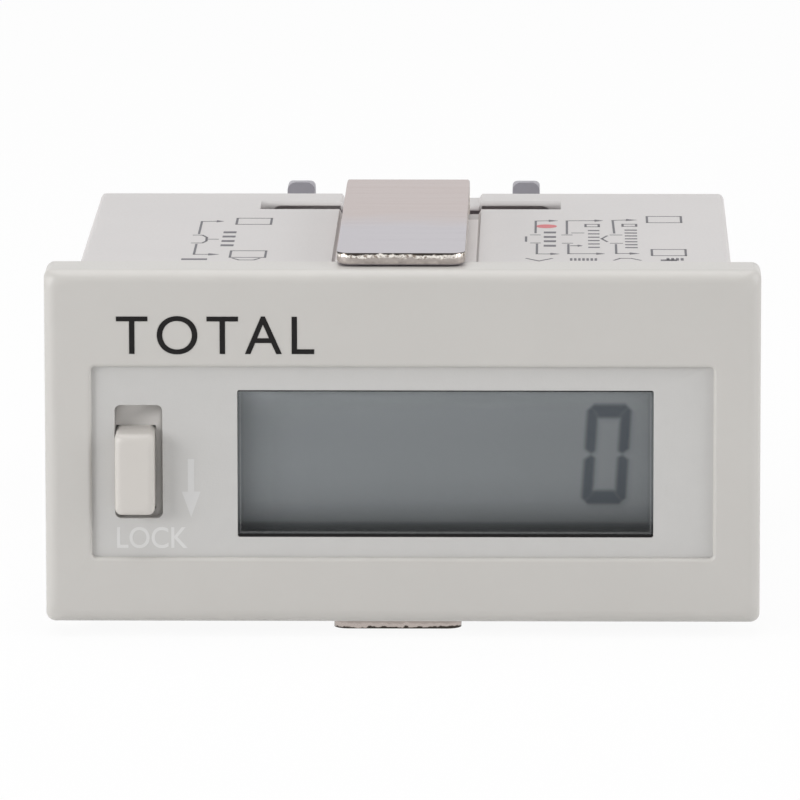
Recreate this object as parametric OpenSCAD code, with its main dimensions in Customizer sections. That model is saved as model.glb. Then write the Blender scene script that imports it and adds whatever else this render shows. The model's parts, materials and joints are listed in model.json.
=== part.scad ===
// Panel counter: a 48 by 24 mm totalising counter with a liquid crystal display, a locking
// reset key, two steel panel clips and four rear screw terminals. Millimetres, +Z up, the
// front faces -Y and the origin is the middle of the panel seat, the plane behind the bezel.

/* [Bezel] */
// Width of the bezel
bezel_w = 48; // [47:0.5:52]
// Height of the bezel
bezel_h = 24; // [23.6:0.2:26]
// Thickness of the bezel, front face to panel seat
bezel_t = 4; // [3.8:0.1:5]
// Radius of the bezel's front edge
bezel_edge_r = 0.9; // [0.6:0.1:1.6]
// Radius of the bezel's four corners
bezel_corner_r = 0.6; // [0.4:0.1:1.5]

/* [Face] */
// Width of the sunk face plate
face_w = 41.8; // [40.6:0.2:42.6]
// Height of the sunk face plate
face_h = 13.1; // [12.6:0.1:14]
// Height of the face plate's middle above the bezel's middle
face_z = -1.05; // [-1.6:0.05:-0.6]
// Depth of the face plate below the bezel's front
face_drop = 0.4; // [0.2:0.05:0.8]
// Thickness of the face plate
face_t = 1; // [0.8:0.1:1.3]
// Width of the ledge that carries the face plate
ledge_w = 0.7; // [0.6:0.05:0.75]
// Thickness of the ledge that carries the face plate
ledge_t = 1.1; // [0.8:0.1:1.3]

/* [Window] */
// Width of the display window
window_w = 27.8; // [26:0.2:29]
// Height of the display window
window_h = 9.9; // [9:0.1:10]
// Offset of the window to the right of the middle
window_x = 2.9; // [2:0.1:4]
// Height of the window's middle above the bezel's middle
window_z = -1.15; // [-1.4:0.05:-0.9]
// Depth of the window pane below the face plate
pane_drop = 0; // [0:0.05:0.5]
// Overlap of the window pane behind the face plate
pane_lip = 0.35; // [0.2:0.05:0.4]
// Thickness of the window pane's lip
pane_lip_t = 0.9; // [0.6:0.1:1]
// Radius of the window pane's front edge
pane_edge_r = 0.15; // [0.1:0.05:0.4]

/* [Reset key] */
// Width of the key slot
slot_w = 3.2; // [3.1:0.05:3.6]
// Height of the key slot
slot_h = 7.7; // [7.2:0.1:8.4]
// Offset of the key slot to the right of the middle
slot_x = -17.7; // [-18:0.05:-17.4]
// Height of the slot's middle above the bezel's middle
slot_z = -1.05; // [-1.6:0.05:-0.8]
// Width of the key
key_w = 2.65; // [2.4:0.05:2.7]
// Height of the key
key_h = 5.7; // [4.6:0.05:5.8]
// Height of the key's front above the face plate
key_proud = 1.7; // [1:0.05:2]
// Radius of the key's front edges
key_edge_r = 0.45; // [0.2:0.05:0.6]
// Radius of the key's four corners
key_corner_r = 0.4; // [0.2:0.05:0.6]
// Press of the key
key_press = 0.8; // [0.5:0.05:1]
// Sideways seat of the key in its slot
key_side = -0.22; // [-0.23:0.01:0]
// Gap below the key at the locked end of the slot
key_end_gap = 0.45; // [0.15:0.05:0.5]
// Gap above the key at the free end of the slot
key_top_gap = 0.2; // [0.15:0.05:0.4]
// Room for the key's return spring
spring_room = 2; // [1.6:0.1:2.6]

/* [Case] */
// Width of the case behind the panel
case_w = 44.4; // [43.6:0.2:44.8]
// Height of the case behind the panel
case_h = 21.6; // [21:0.1:22]
// Length of the case behind the panel seat
case_len = 38.7; // [36:0.5:46]
// Wall of the case
case_wall = 1.3; // [1.1:0.1:1.4]
// Radius of the case's long edges
case_corner_r = 0.5; // [0.3:0.1:0.8]
// Radius of the case's rear edges
case_edge_r = 0.4; // [0.2:0.1:0.8]
// Depth of the bezel's rebate that takes the front of the case
rebate_d = 0.6; // [0.4:0.1:0.8]
// Width of the clip channel along the case, at its mouth
channel_w = 10; // [9.8:0.1:11]
// Depth of the clip channel
channel_d = 0.35; // [0.2:0.05:0.5]
// Slope of the channel's sides, from mouth to floor
channel_slope = 0.2; // [0.1:0.05:0.4]
// Width of the cross slot that holds a clip
cross_w = 21.2; // [19:0.2:23]
// Length of the cross slot along the case
cross_len = 3.5; // [3:0.1:3.8]
// Distance from the cross slot to the rear of the case
cross_rear = 4.2; // [4.1:0.1:6]
// Radius of the cross slot's rear lip
lip_r = 0.5; // [0.2:0.05:0.6]
// Thickness of the lip over the heel room behind the cross slot
lip_t = 0.3; // [0.2:0.05:0.5]
// Depth of the heel room behind the cross slot
heel_d = 1; // [0.6:0.1:1.1]

/* [Clips] */
// Width of a clip
clip_w = 8.6; // [8:0.1:9]
// Thickness of the clip's steel
clip_t = 0.9; // [0.6:0.05:1]
// Reach of a clip over the bezel's edge
clip_reach = 2.4; // [1:0.1:2.8]
// Radius of a clip's front corners
clip_corner_r = 1; // [0.4:0.1:2]
// Inner radius of a clip's bends
clip_bend_r = 0.4; // [0.3:0.05:0.6]
// Width of a clip's foot in the cross slot
foot_w = 20.4; // [18:0.2:20.8]
// Length of a clip's foot under the wall of the case
foot_len = 2; // [1.4:0.1:2.6]
// Sideways seat of the upper clip in its channel
upper_clip_side = -0.12; // [-0.4:0.02:0.4]
// Sideways seat of the lower clip in its channel
lower_clip_side = -0.38; // [-0.4:0.02:0.4]
// Distance that the lower clip is slid back
lower_clip_back = 1.4; // [0:0.1:1.5]

/* [Display] */
// Margin of the display glass beside the window
glass_side = 1.6; // [1:0.1:2]
// Margin of the display glass above and below the window
glass_over = 1.25; // [1:0.05:1.3]
// Thickness of each display glass
glass_t = 0.7; // [0.5:0.1:0.9]
// Width of the contact ledge along the front glass
contact_ledge = 1.7; // [1.5:0.1:2]
// Thickness of the reflector film
film_t = 0.2; // [0.1:0.05:0.3]
// Wall of the display holder
holder_wall = 0.55; // [0.4:0.05:0.6]
// Thickness of a contact strip
strip_t = 1.1; // [0.9:0.1:1.2]

/* [Boards] */
// Thickness of both circuit boards
board_t = 1.2; // [0.8:0.1:1.6]
// Room between the front board and the case
board_gap = 0.4; // [0.2:0.1:0.6]
// Height of the input board
input_h = 14; // [13.8:0.1:14.4]
// Diameter of the board screws
board_screw_d = 1.6; // [1.4:0.1:1.8]
// Diameter of the link pins between the boards
link_d = 0.7; // [0.5:0.1:0.9]

/* [Battery] */
// Diameter of the battery
cell_d = 14.5; // [13:0.5:14.5]
// Length of the battery
cell_len = 25; // [22:0.5:26]
// Room between the front board and the battery
cell_room = 3.4; // [3:0.1:4.5]

/* [Terminals] */
// Pitch of the four terminals
pitch = 8.1; // [7.8:0.1:8.6]
// Thickness of a barrier rib
rib_t = 1.95; // [1.4:0.05:2]
// Length of a barrier rib behind the terminal face
rib_len = 5; // [4.6:0.1:7]
// Radius of a rib's upper rear corner
rib_round = 4.4; // [1:0.1:4.5]
// Height of a rib's top above the middle
rib_top = 10.6; // [9.8:0.1:11]
// Depth of the terminal block behind the case
block_d = 6.3; // [6:0.1:9]
// Height of the terminal block behind the case
block_h = 18; // [17:0.5:18.6]
// Length of the terminal block's plug inside the case
plug_len = 2.2; // [1.6:0.1:2.6]
// Width of a terminal plate
plate_w = 5.8; // [5:0.1:5.8]
// Height of a terminal plate
plate_h = 8; // [7.5:0.1:9]
// Thickness of a terminal plate
plate_t = 0.8; // [0.6:0.1:1]
// Diameter of a terminal screw
screw_d = 3; // [2.5:0.1:3]
// Diameter of a terminal screw's head
head_d = 5.2; // [4.8:0.1:5.4]
// Height of a terminal screw's head
head_t = 1.6; // [1.2:0.1:1.8]

/* [Fits] */
// Clearance between pieces that are pushed together
fit = 0.05; // [0.03:0.01:0.08]
// Clearance beside a piece that slides
run = 0.1; // [0.06:0.01:0.12]

/* [Hidden] */
$fn = 48;
eps = 0.01;
far = 200;

// Case section
inner_w = case_w - 2 * case_wall;
inner_h = case_h - 2 * case_wall;
inner_top = inner_h / 2;

// Front stack, from the bezel's face towards the rear
face_front = -bezel_t + face_drop;
face_back = face_front + face_t;
ledge_back = face_back + ledge_t;
opening_w = face_w - 2 * ledge_w;
opening_h = face_h - 2 * ledge_w;
lcd_front = ledge_back + fit;
lcd_step = lcd_front + glass_t;
lcd_back = lcd_step + glass_t + film_t;
lcd_w = window_w + 2 * glass_side;
lcd_h = window_h + 2 * glass_over;
rear_glass_h = lcd_h - 2 * contact_ledge;
pane_corner_r = 0.15;

// Key stack: slider plate, key collar, spring, sleeve wall and contact puck
key_x = slot_x + key_side;
key_z = slot_z - slot_h / 2 + key_end_gap + key_h / 2;
lock_travel = slot_h - key_h - key_end_gap - key_top_gap;
slider_t = 0.8;
slider_w = slot_w + 0.9;
slider_lap = 0.3;
slider_front = face_back + run;
slider_back = slider_front + slider_t;
collar_w = key_w + 0.5;
collar_h = key_h + 0.7;
collar_t = 0.6;
collar_front = slider_back + fit;
collar_back = collar_front + collar_t;
sleeve_wall = 0.6;
sleeve_front = collar_back + spring_room;
sleeve_back = sleeve_front + sleeve_wall;
sleeve_h = collar_h + 2 * run + 2 * sleeve_wall;
stem_d = 1.6;
puck_d = 2.6;
puck_t = 0.7;
puck_front = sleeve_back + run;
puck_back = puck_front + puck_t;
spring_d = 2.9;
spring_wire = 0.26;
spring_turns = 4;

// Boards and what they carry
board_front = puck_back + key_press + run;
board_back = board_front + board_t;
board_w = inner_w - 2 * board_gap;
board_h = inner_h - 2 * board_gap;
post_d = 2.6;
post_x = 17.4;
post_z = inner_top - board_gap - post_d / 2 - fit;
link_pitch = 2.2;
link_first = cell_len / 2 + link_d + board_gap;
link_xs = [for (side = [-1, 1], i = [0, 1]) side * (link_first + i * link_pitch)];
link_z = window_z + lcd_h / 2 + fit + holder_wall + board_gap + link_d / 2;
link_over = 0.4;
block_front = case_len - plug_len;
input_back = block_front;
input_front = input_back - board_t;
input_w = inner_w - 2 * board_gap;
cell_y = board_back + cell_room + cell_d / 2;

// Clips and the pockets that take their feet
cross_front = case_len - cross_rear - cross_len;
cross_back = case_len - cross_rear;
clip_low = bezel_h / 2 + fit;
clip_high = clip_low + clip_t;
leg_front = cross_front + run;
leg_back = leg_front + clip_t;
foot_high = inner_top - 2 * run;
foot_low = foot_high - clip_t;
foot_front = leg_front - clip_bend_r - foot_len;
pocket_wall = 0.7;
pocket_low = foot_low - run;
pocket_front = foot_front - 2 * run;
pocket_back = cross_back + heel_d;
heel_w = foot_w - 0.4;
heel_r = 0.8;
heel_high = case_h / 2 - lip_t;

// Terminal block
block_face = case_len + block_d;
block_w = case_w - 0.8;
block_wall = 2;
block_edge_r = 0.4;
block_corner_r = 0.8;
core_w = 34;
core_h = input_h - 2;
rib_low = -8.6;
rib_edge_r = 0.6;
terminal_xs = [for (i = [-1.5, -0.5, 0.5, 1.5]) i * pitch];
rib_xs = [for (i = [-1, 0, 1]) i * pitch];
plate_back = block_face + plate_t;
washer_w = 5.4;
washer_t = 0.7;
washer_back = plate_back + washer_t;
screw_len = 5;
tail_w = 2;
tail_over = 0.6;

// Upright flat shape, pushed through from one depth to another
module slab(front, back) {
    translate([0, back, 0])
        rotate([90, 0, 0])
            linear_extrude(height = back - front)
                children();
}

// Flat shape of depth and height, pushed sideways about the middle
module bar(width) {
    translate([-width / 2, 0, 0])
        rotate([90, 0, 90])
            linear_extrude(height = width)
                children();
}

module rect(w, h, x = 0, z = 0) {
    translate([x - w / 2, z - h / 2])
        square([w, h]);
}

module round_rect(w, h, r, x = 0, z = 0) {
    translate([x, z]) {
        rect(w - 2 * r, h);
        rect(w, h - 2 * r);
        for (i = [-1, 1], j = [-1, 1])
            translate([i * (w / 2 - r), j * (h / 2 - r)])
                circle(r);
    }
}

// Section of a block whose two front edges are round
module front_round(front, back, across, r) {
    translate([front + r, -across / 2])
        square([back - front - r, across]);
    translate([front, -across / 2 + r])
        square([r + eps, across - 2 * r]);
    for (j = [-1, 1])
        translate([front + r, j * (across / 2 - r)])
            circle(r);
}

// Block with round corners and round front edges
module soft_block(w, h, front, back, edge_r, corner_r) {
    intersection() {
        slab(front, back)
            round_rect(w, h, corner_r);
        bar(w + far)
            front_round(front, back, h, edge_r);
        translate([0, 0, -far / 2])
            linear_extrude(height = far)
                rotate(90)
                    front_round(front, back, w, edge_r);
    }
}

// Quarter of a bend in sheet, open towards the given signs of depth and height
module bend(r, t, toward_y, toward_z) {
    intersection() {
        difference() {
            circle(r + t);
            circle(r);
        }
        translate([toward_y > 0 ? 0 : -far, toward_z > 0 ? 0 : -far])
            square(far);
    }
}

module disc(d, front, back, x = 0, z = 0) {
    translate([x, back, z])
        rotate([90, 0, 0])
            cylinder(d = d, h = back - front);
}

// Snap tongues that hold the bezel in the front of the case
tongue_xs = [-13, 13];
tongue_w = 5;
tongue_t = 0.9;
tongue_end = board_front - 0.5;
tongue_high = inner_top - run;
barb_h = 0.35;
barb_len = 0.9;
barb_gap = 0.2;

module tongues() {
    for (side = [0, 1], x = tongue_xs)
        mirror([0, 0, side]) {
            slab(ledge_back - eps, tongue_end)
                rect(tongue_w, tongue_t, x, tongue_high - tongue_t / 2);
            slab(tongue_end - barb_len, tongue_end)
                rect(tongue_w, barb_h + tongue_t, x, tongue_high + (barb_h - tongue_t) / 2);
        }
}

rail_t = 0.6;

// Two rails across the opening, one on each side of the slider's sleeve
module slider_rails() {
    for (side = [-1, 1])
        slab(ledge_back - eps, sleeve_front)
            rect(rail_t, face_h, key_x + side * (slider_w / 2 + run + rail_t / 2), face_z);
}

module front_bezel() {
    color([0.80, 0.79, 0.76])
    difference() {
        union() {
            difference() {
                soft_block(bezel_w, bezel_h, -bezel_t, 0, bezel_edge_r, bezel_corner_r);
                slab(-far, face_back)
                    round_rect(face_w, face_h, bezel_corner_r / 2, 0, face_z);
                slab(-far, far)
                    rect(opening_w, opening_h, 0, face_z);
                slab(ledge_back, far)
                    rect(inner_w, inner_h);
                slab(-rebate_d, far)
                    round_rect(case_w + 2 * fit, case_h + 2 * fit, case_corner_r);
            }
            tongues();
            slider_rails();
            for (side = [-1, 1])
                disc(post_d, ledge_back - eps, board_front, side * post_x, post_z);
        }
        for (side = [-1, 1])
            disc(board_screw_d + 2 * fit, ledge_back, far, side * post_x, post_z);
    }
}

module face_plate() {
    color([0.76, 0.77, 0.77])
    slab(face_front, face_back)
        difference() {
            round_rect(face_w - 2 * fit, face_h - 2 * fit, bezel_corner_r / 2, 0, face_z);
            round_rect(window_w, window_h, pane_corner_r, window_x, window_z);
            round_rect(slot_w, slot_h, key_corner_r, slot_x, slot_z);
        }
}

module display_window() {
    color([0.50, 0.54, 0.53, 0.5])
    union() {
        translate([window_x, 0, window_z])
            soft_block(window_w - 2 * fit, window_h - 2 * fit, face_front + pane_drop,
                       face_back + eps, pane_edge_r, pane_corner_r);
        slab(face_back, face_back + pane_lip_t)
            rect(window_w + 2 * pane_lip, window_h + 2 * pane_lip, window_x, window_z);
    }
}

module lcd_front_glass() {
    color([0.52, 0.56, 0.53])
    slab(lcd_front, lcd_step)
        rect(lcd_w, lcd_h, window_x, window_z);
}

module lcd_rear_glass() {
    color([0.50, 0.54, 0.50])
    slab(lcd_step, lcd_step + glass_t)
        rect(lcd_w, rear_glass_h, window_x, window_z);
}

module lcd_reflector() {
    color([0.72, 0.74, 0.70])
    slab(lcd_back - film_t, lcd_back)
        rect(lcd_w, rear_glass_h, window_x, window_z);
}

strip_z = lcd_h / 2 - contact_ledge / 2;
strip_len = lcd_w - 2 * glass_side;
tray_floor = 0.8;

module lcd_holder() {
    color([0.90, 0.90, 0.88])
    difference() {
        slab(lcd_front + fit, board_front)
            rect(lcd_w + 2 * (fit + holder_wall), lcd_h + 2 * (fit + holder_wall),
                 window_x, window_z);
        slab(-far, lcd_step)
            rect(lcd_w + 2 * fit, lcd_h + 2 * fit, window_x, window_z);
        slab(-far, lcd_back)
            rect(lcd_w + 2 * fit, rear_glass_h + 2 * fit, window_x, window_z);
        for (side = [-1, 1])
            slab(-far, far)
                rect(strip_len + 2 * fit, strip_t + 2 * fit, window_x, window_z + side * strip_z);
        slab(lcd_back + tray_floor, far)
            rect(strip_len, rear_glass_h - 2 * tray_floor, window_x, window_z);
    }
}

module contact_strip(side) {
    color([0.85, 0.62, 0.60])
    slab(lcd_step, board_front)
        rect(strip_len, strip_t, window_x, window_z + side * strip_z);
}

module upper_contact_strip() contact_strip(1);

module lower_contact_strip() contact_strip(-1);

slider_low = slot_z - slot_h / 2 - lock_travel - slider_lap;
slider_high = slot_z + slot_h / 2 + slider_lap;
foot_pad_h = 0.9;

module lock_slider() {
    color([0.70, 0.70, 0.69])
    difference() {
        union() {
            slab(slider_front, slider_back)
                rect(slider_w, slider_high - slider_low, key_x, (slider_high + slider_low) / 2);
            slab(slider_back - eps, sleeve_back)
                rect(slider_w, sleeve_h, key_x, key_z);
            for (side = [-1, 1])
                slab(sleeve_back - eps, board_front - run)
                    rect(slider_w, foot_pad_h, key_x, key_z + side * (sleeve_h - foot_pad_h) / 2);
        }
        slab(-far, slider_back + eps)
            rect(key_w + 2 * fit, key_h + 2 * fit, key_x, key_z);
        slab(slider_back, sleeve_front)
            rect(collar_w + 2 * run, collar_h + 2 * run, key_x, key_z);
        disc(stem_d + 2 * fit, sleeve_front - eps, far, key_x, key_z);
    }
}

module reset_key() {
    color([0.82, 0.81, 0.79])
    union() {
        translate([key_x, 0, key_z])
            soft_block(key_w, key_h, face_front - key_proud, collar_front + eps,
                       key_edge_r, key_corner_r);
        slab(collar_front, collar_back)
            rect(collar_w, collar_h, key_x, key_z);
        disc(stem_d, collar_back - eps, puck_front, key_x, key_z);
    }
}

// Helical return spring: a ring of wire swept round the stem
function coil_point(a, r, y) = [r * cos(a), y, r * sin(a)];

module key_spring() {
    sides = 6;
    steps = spring_turns * 16;
    rise = sleeve_front - collar_back - spring_wire - 2 * fit;
    start = collar_back + fit + spring_wire / 2;
    mid_r = (spring_d - spring_wire) / 2;
    points = [
        for (i = [0:steps], j = [0:sides - 1])
            coil_point(
                360 * spring_turns * i / steps,
                mid_r + spring_wire / 2 * cos(360 * j / sides),
                start + rise * i / steps + spring_wire / 2 * sin(360 * j / sides)
            )
    ];
    walls = [
        for (i = [0:steps - 1], j = [0:sides - 1])
            let (k = (j + 1) % sides)
                [i * sides + j, i * sides + k, (i + 1) * sides + k, (i + 1) * sides + j]
    ];
    near_end = [for (j = [sides - 1:-1:0]) j];
    far_end = [for (j = [0:sides - 1]) steps * sides + j];
    color([0.75, 0.76, 0.78])
    translate([key_x, 0, key_z])
        polyhedron(points = points, faces = concat(walls, [near_end, far_end]));
}

module contact_puck() {
    color([0.16, 0.16, 0.17])
    disc(puck_d, puck_front, puck_back, key_x, key_z);
}

module circuit_board() {
    color([0.12, 0.38, 0.20])
    difference() {
        slab(board_front, board_back)
            rect(board_w, board_h);
        for (side = [-1, 1])
            disc(board_screw_d + 2 * fit, -far, far, side * post_x, post_z);
        for (x = link_xs)
            disc(link_d + 2 * fit, -far, far, x, link_z);
    }
}

board_head_d = 2.5;
board_head_t = 1;
board_screw_len = 5;

module board_screws() {
    color([0.62, 0.62, 0.60])
    for (side = [-1, 1]) {
        disc(board_head_d, board_back, board_back + board_head_t, side * post_x, post_z);
        disc(board_screw_d, board_back - board_screw_len, board_back + eps, side * post_x, post_z);
    }
}

chip_d = 9;
chip_t = 1.3;
chip_z = 1.5;

// Drop of black resin over the bonded counter chip: a low cap of a sphere
module counter_chip() {
    cap_r = (pow(chip_d / 2, 2) + pow(chip_t, 2)) / (2 * chip_t);
    color([0.06, 0.06, 0.07])
    intersection() {
        translate([0, board_back + chip_t - cap_r, chip_z])
            sphere(r = cap_r, $fn = 96);
        slab(board_back, far)
            rect(chip_d, chip_d, 0, chip_z);
    }
}

// One row along the board: resistors, then capacitors, then the crystal
chip_part_w = 1.25;
chip_part_h = 2;
chip_part_t = 0.6;
chip_part_gap = 1.15;
chip_part_pitch = chip_part_w + chip_part_gap;
resistors = 4;
capacitors = 5;
resistor_x = -14;
capacitor_x = resistor_x + resistors * chip_part_pitch;
row_z = -6.4;
crystal_d = 2;
crystal_len = 6;
crystal_x = capacitor_x + capacitors * chip_part_pitch;

module quartz_crystal() {
    color([0.78, 0.79, 0.80])
    translate([crystal_x, board_back + crystal_d / 2 + fit, row_z])
        rotate([0, 90, 0])
            cylinder(d = crystal_d, h = crystal_len);
}

module chip_row(count, first_x) {
    for (i = [0:count - 1])
        slab(board_back, board_back + chip_part_t)
            rect(chip_part_w, chip_part_h, first_x + i * chip_part_pitch, row_z);
}

module chip_resistors() {
    color([0.10, 0.10, 0.11])
    chip_row(resistors, resistor_x);
}

module chip_capacitors() {
    color([0.62, 0.50, 0.36])
    chip_row(capacitors, capacitor_x);
}

cell_nub_d = 5;
cell_nub_t = 0.8;
cell_edge_r = 0.6;

// Lithium cell across the case, its positive nub to the right
module battery_cell() {
    color([0.20, 0.36, 0.62])
    translate([-cell_len / 2, cell_y, 0])
        rotate([0, 90, 0])
            rotate_extrude()
                union() {
                    square([cell_d / 2 - cell_edge_r, cell_len - cell_nub_t]);
                    translate([0, cell_edge_r])
                        square([cell_d / 2, cell_len - cell_nub_t - 2 * cell_edge_r]);
                    for (end = [cell_edge_r, cell_len - cell_nub_t - cell_edge_r])
                        translate([cell_d / 2 - cell_edge_r, end])
                            circle(cell_edge_r);
                    square([cell_nub_d / 2, cell_len]);
                }
}

tab_t = 0.25;
tab_w = 3;
tab_past = 2;
tab_foot = 1.6;

module battery_tabs() {
    color([0.74, 0.74, 0.72])
    for (side = [-1, 1]) {
        slab(board_back, cell_y + tab_past)
            rect(tab_t, tab_w, side * (cell_len + tab_t) / 2, 0);
        slab(board_back, board_back + tab_t)
            rect(tab_foot, tab_w, side * (cell_len + tab_foot) / 2, 0);
    }
}

module link_pins() {
    color([0.80, 0.76, 0.62])
    for (x = link_xs)
        disc(link_d, board_front - link_over, input_back, x, link_z);
}

module input_board() {
    color([0.12, 0.38, 0.20])
    difference() {
        slab(input_front, input_back)
            rect(input_w, input_h);
        for (x = link_xs)
            disc(link_d + 2 * fit, -far, far, x, link_z);
        for (x = terminal_xs)
            slab(-far, far)
                rect(tail_w + 2 * fit, plate_t + 2 * fit, x, tail_z);
    }
}

coupler_w = 6.4;
coupler_h = 4.6;
coupler_t = 3.4;
coupler_x = -6;
coupler_z = 1.5;

module input_coupler() {
    color([0.08, 0.08, 0.09])
    slab(input_front - coupler_t, input_front)
        rect(coupler_w, coupler_h, coupler_x, coupler_z);
}

capacitor_d = 5;
capacitor_t = 6;
capacitor_z = 1.5;
input_capacitor_x = 6;

module input_capacitor() {
    color([0.10, 0.12, 0.20])
    disc(capacitor_d, input_front - capacitor_t, input_front, input_capacitor_x, capacitor_z);
}

// One half of the case's clip seat: channel, cross slot and the pocket below it
module clip_pocket() {
    translate([-cross_w / 2 - pocket_wall, pocket_front - pocket_wall, pocket_low - pocket_wall])
        cube([
            cross_w + 2 * pocket_wall,
            pocket_back - pocket_front + 2 * pocket_wall,
            inner_top - pocket_low + pocket_wall + eps
        ]);
}

// Flat shape above a round lip at the cross slot's rear, for a surface at the given height
module lip_corner(top) {
    difference() {
        translate([cross_back - eps, top - lip_r])
            square([lip_r + eps, 2 * lip_r]);
        translate([cross_back + lip_r, top - lip_r])
            circle(lip_r);
    }
}

// Room behind the cross slot for the clip's heel, lower where the channel crosses it
module heel_room() {
    slab(cross_back - eps, pocket_back)
        difference() {
            round_rect(heel_w, heel_high - pocket_low, heel_r, 0, (heel_high + pocket_low) / 2);
            rect(channel_w, 2 * channel_d, 0, heel_high);
        }
}

module clip_seat_cuts() {
    floor_w = channel_w - 2 * channel_slope;
    open_w = channel_w + 2 * channel_slope;
    slab(-far, far)
        polygon([
            [-floor_w / 2, case_h / 2 - channel_d], [floor_w / 2, case_h / 2 - channel_d],
            [open_w / 2, case_h / 2 + channel_d], [-open_w / 2, case_h / 2 + channel_d]
        ]);
    bar(cross_w)
        lip_corner(case_h / 2);
    bar(floor_w)
        lip_corner(case_h / 2 - channel_d);
    heel_room();
    translate([-cross_w / 2, cross_front, pocket_low])
        cube([cross_w, cross_len, far]);
    translate([-cross_w / 2, pocket_front, pocket_low])
        cube([cross_w, cross_back - pocket_front, inner_top - pocket_low]);
}

module barb_seats() {
    for (x = tongue_xs)
        slab(tongue_end - barb_len - barb_gap, tongue_end + barb_gap)
            rect(tongue_w + 2 * barb_gap, 2 * (barb_h + barb_gap), x, inner_top);
}

module rear_case() {
    color([0.84, 0.82, 0.81])
    difference() {
        union() {
            difference() {
                mirror([0, 1, 0])
                    soft_block(case_w, case_h, -case_len, rebate_d, case_edge_r, case_corner_r);
                slab(-far, far)
                    rect(inner_w, inner_h);
            }
            for (side = [0, 1])
                mirror([0, 0, side])
                    clip_pocket();
        }
        for (side = [0, 1])
            mirror([0, 0, side]) {
                clip_seat_cuts();
                barb_seats();
            }
        for (side = [-1, 1])
            slab(lug_y - lug_len / 2 - barb_gap, lug_y + lug_len / 2 + barb_gap)
                rect(2 * (lug_t + barb_gap), lug_h + 2 * barb_gap, side * inner_w / 2, 0);
    }
}

lug_len = 0.8;
lug_t = 0.35;
lug_h = 7;
lug_y = case_len - plug_len / 2;
tail_z = -plate_h / 2 + plate_t / 2;

// Barrier between two terminals: round along its top, and falling away to the rear
module barrier_rib() {
    intersection() {
        slab(-eps, rib_len)
            round_rect(rib_t, rib_top - rib_low, rib_edge_r, 0, (rib_top + rib_low) / 2);
        bar(rib_t) {
            translate([-eps, rib_low])
                square([rib_len + eps, rib_top - rib_round - rib_low]);
            translate([-eps, rib_low])
                square([rib_len - rib_round + eps, rib_top - rib_low]);
            translate([rib_len - rib_round, rib_top - rib_round])
                circle(rib_round);
        }
    }
}

module terminal_block() {
    color([0.42, 0.42, 0.44])
    difference() {
        union() {
            slab(block_front, case_len + eps)
                rect(inner_w - 2 * fit, inner_h - 2 * fit);
            mirror([0, 1, 0])
                soft_block(block_w, block_h, -block_face, -case_len, block_edge_r, block_corner_r);
            for (side = [-1, 1])
                slab(lug_y - lug_len / 2, lug_y + lug_len / 2)
                    rect(2 * lug_t, lug_h, side * (inner_w / 2 - fit), 0);
            for (x = rib_xs)
                translate([x, block_face, 0])
                    barrier_rib();
        }
        slab(-far, block_face - block_wall)
            rect(core_w, core_h);
        for (x = terminal_xs) {
            disc(screw_d + 4 * run, -far, far, x, 0);
            slab(-far, far)
                rect(tail_w + 2 * fit, plate_t + 2 * fit, x, tail_z);
        }
    }
}

module terminal_plates() {
    color([0.78, 0.74, 0.60])
    difference() {
        union() {
            for (x = terminal_xs) {
                slab(block_face, plate_back)
                    rect(plate_w, plate_h, x, 0);
                slab(input_front - tail_over, block_face + eps)
                    rect(tail_w, plate_t, x, tail_z);
            }
        }
        for (x = terminal_xs)
            disc(screw_d + 2 * fit, -far, far, x, 0);
    }
}

module clamp_washers() {
    color([0.74, 0.74, 0.72])
    difference() {
        for (x = terminal_xs)
            slab(plate_back, washer_back)
                rect(washer_w, washer_w, x, 0);
        for (x = terminal_xs)
            disc(screw_d + 2 * run, -far, far, x, 0);
    }
}

cross_slot_w = 0.8;
cross_slot_len = 2.8;
cross_slot_d = 0.9;

// Pan head: a disc with a round crown and a cross recess
module terminal_screw(x) {
    crown_r = head_t / 2;
    difference() {
        translate([x, washer_back, 0])
            rotate([-90, 0, 0])
                rotate_extrude()
                    union() {
                        square([head_d / 2 - crown_r, head_t]);
                        square([head_d / 2, head_t - crown_r]);
                        translate([head_d / 2 - crown_r, head_t - crown_r])
                            circle(crown_r);
                    }
        slab(washer_back + head_t - cross_slot_d, far) {
            rect(cross_slot_w, cross_slot_len, x, 0);
            rect(cross_slot_len, cross_slot_w, x, 0);
        }
    }
    disc(screw_d, washer_back - washer_t - screw_len, washer_back + eps, x, 0);
}

module terminal_screws() {
    color([0.76, 0.76, 0.75])
    for (x = terminal_xs)
        terminal_screw(x);
}

// Steel clip: plate over the bezel's edge, leg down the cross slot, foot under the wall
module clip() {
    bend_y = leg_front - clip_bend_r;
    translate([0, 0, clip_low])
        linear_extrude(height = clip_t) {
            translate([-clip_w / 2, clip_corner_r - clip_reach])
                square([clip_w, bend_y + clip_reach - clip_corner_r]);
            translate([clip_corner_r - clip_w / 2, -clip_reach])
                square([clip_w - 2 * clip_corner_r, clip_corner_r + eps]);
            for (side = [-1, 1])
                translate([side * (clip_w / 2 - clip_corner_r), clip_corner_r - clip_reach])
                    circle(clip_corner_r);
        }
    bar(clip_w) {
        translate([bend_y, clip_low - clip_bend_r])
            bend(clip_bend_r, clip_t, 1, 1);
        translate([leg_front, foot_high + clip_bend_r])
            square([clip_t, clip_low - foot_high - 2 * clip_bend_r]);
    }
    bar(foot_w) {
        translate([bend_y, foot_high + clip_bend_r])
            bend(clip_bend_r, clip_t, 1, -1);
        translate([foot_front, foot_low])
            square([foot_len, clip_t]);
    }
}

module upper_clip() {
    color([0.86, 0.85, 0.84])
    translate([upper_clip_side, 0, 0])
        clip();
}

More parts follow.
